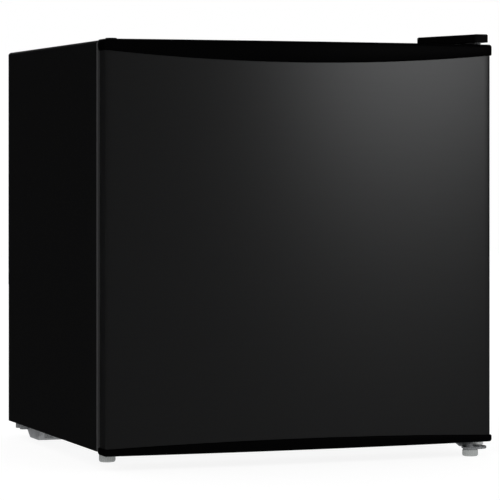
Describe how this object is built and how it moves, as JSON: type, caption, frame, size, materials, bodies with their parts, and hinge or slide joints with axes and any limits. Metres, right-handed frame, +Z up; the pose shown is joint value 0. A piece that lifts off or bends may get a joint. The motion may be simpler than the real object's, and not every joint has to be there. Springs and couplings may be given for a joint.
{
  "type": "mini fridge",
  "caption": "Compact cube refrigerator with a bowed dark grey door hinged on the right, black caps and cabinet, freezer box, wire shelf, door racks and rear condenser.",
  "frame": {"origin": "on the floor, under the middle of the bounding box", "axes": "+X to the right seen from the front, +Y from the door to the rear, +Z up"},
  "size_m": [0.474, 0.45, 0.492],
  "materials": {
    "cabinet_black": "satin",
    "zinc_plate": "galvanised",
    "foam": "matt",
    "liner_white": "gloss",
    "foot_plastic": "matt",
    "hinge_steel": "zinc plated",
    "cover_black": "satin",
    "mount_rubber": "matt",
    "compressor_black": "semi-gloss",
    "copper": "drawn",
    "evaporator_metal": "satin",
    "trim_white": "satin",
    "clear_plastic": "clear",
    "shelf_wire": "coated white",
    "thermostat_metal": "satin",
    "door_grey": "metallic grey",
    "cap_black": "gloss",
    "seal_grey": "matt",
    "magnet": "matt"
  },
  "bodies": {
    "cabinet": {"outer_shell": "cabinet_black", "front_rail": "cabinet_black", "back_panel": "cabinet_black", "bottom_plate": "zinc_plate", "machine_plate": "zinc_plate", "compressor_base": "zinc_plate", "foam_insulation": "foam", "inner_liner": "liner_white", "left_foot_insert": "foot_plastic", "top_hinge_bracket": "hinge_steel", "top_hinge_pin": "hinge_steel", "top_hinge_screws": "hinge_steel", "lower_hinge_bracket": "hinge_steel", "lower_hinge_pin": "hinge_steel", "lower_hinge_screws": "hinge_steel", "base_bolts": "hinge_steel", "condenser_screws": "hinge_steel", "evaporator_screws": "hinge_steel", "top_hinge_cover": "cover_black", "cabinet_hole_plugs": "cover_black", "condenser_brackets": "cover_black", "terminal_cover": "cover_black", "cord_gland": "cover_black", "rubber_mounts": "mount_rubber", "compressor_shell": "compressor_black", "condenser": "compressor_black", "suction_line": "copper", "discharge_line": "copper", "liquid_line": "copper", "filter_drier": "copper", "capillary_tube": "copper", "evaporator_box": "evaporator_metal", "evaporator_channel": "evaporator_metal", "evaporator_hangers": "trim_white", "freezer_frame": "trim_white", "tray_rails": "trim_white", "thermostat_housing": "trim_white", "thermostat_body": "thermostat_metal"},
    "door": {"door_panel": "door_grey", "door_top_cap": "cap_black", "door_bottom_cap": "cap_black", "door_upper_bushing": "trim_white", "door_lower_bushing": "trim_white", "door_hole_plugs": "cap_black", "door_foam": "foam", "door_liner": "liner_white", "door_gasket": "seal_grey", "gasket_magnets": "magnet", "lower_rack": "clear_plastic", "upper_rack": "clear_plastic"},
    "freezer_flap": {"freezer_flap": "clear_plastic"},
    "drip_tray": {"drip_tray": "trim_white"},
    "shelf": {"shelf": "shelf_wire"},
    "thermostat_knob": {"thermostat_knob": "trim_white"},
    "right_leg": {"right_foot_stud": "hinge_steel"},
    "right_pad": {"right_foot_pad": "foot_plastic"},
    "left_leg": {"left_foot_stud": "hinge_steel"},
    "left_pad": {"left_foot_pad": "foot_plastic"}
  },
  "joints": [
    {"name": "door_hinge", "type": "hinge", "parent": "cabinet", "child": "door", "pos_m": [0.2245, -0.2012, 0.25], "axis": [0, 0, 1], "range_deg": [0, 130]},
    {"name": "flap_hinge", "type": "hinge", "parent": "cabinet", "child": "freezer_flap", "pos_m": [-0.048, -0.097, 0.347], "axis": [1, 0, 0], "range_deg": [0, 90]},
    {"name": "drip_tray_slide", "type": "slide", "parent": "cabinet", "child": "drip_tray", "axis": [0, -1, 0], "range_m": [0, 0.08]},
    {"name": "shelf_slide", "type": "slide", "parent": "cabinet", "child": "shelf", "axis": [0, -1, 0], "range_m": [0, 0.07]},
    {"name": "thermostat_turn", "type": "hinge", "parent": "cabinet", "child": "thermostat_knob", "pos_m": [0.164, -0.0705, 0.408], "axis": [0, 1, 0], "range_deg": [0, 300]},
    {"name": "right_foot_drop", "type": "slide", "parent": "cabinet", "child": "right_leg", "axis": [0, 0, -1], "range_m": [0, 0.0035]},
    {"name": "right_foot_turn", "type": "hinge", "parent": "right_leg", "child": "right_pad", "pos_m": [0.2105, -0.2105, 0.004], "axis": [0, 0, -1], "range_deg": [0, 1260]},
    {"name": "left_foot_drop", "type": "slide", "parent": "cabinet", "child": "left_leg", "axis": [0, 0, -1], "range_m": [0, 0.01]},
    {"name": "left_foot_turn", "type": "hinge", "parent": "left_leg", "child": "left_pad", "pos_m": [-0.205, -0.123, 0.004], "axis": [0, 0, -1], "range_deg": [0, 2880]}
  ],
  "couplings": [
    {"joint": "right_foot_turn", "follows": "right_foot_drop", "rad_per_m": 6283.1},
    {"joint": "left_foot_turn", "follows": "left_foot_drop", "rad_per_m": 5026.5}
  ]
}
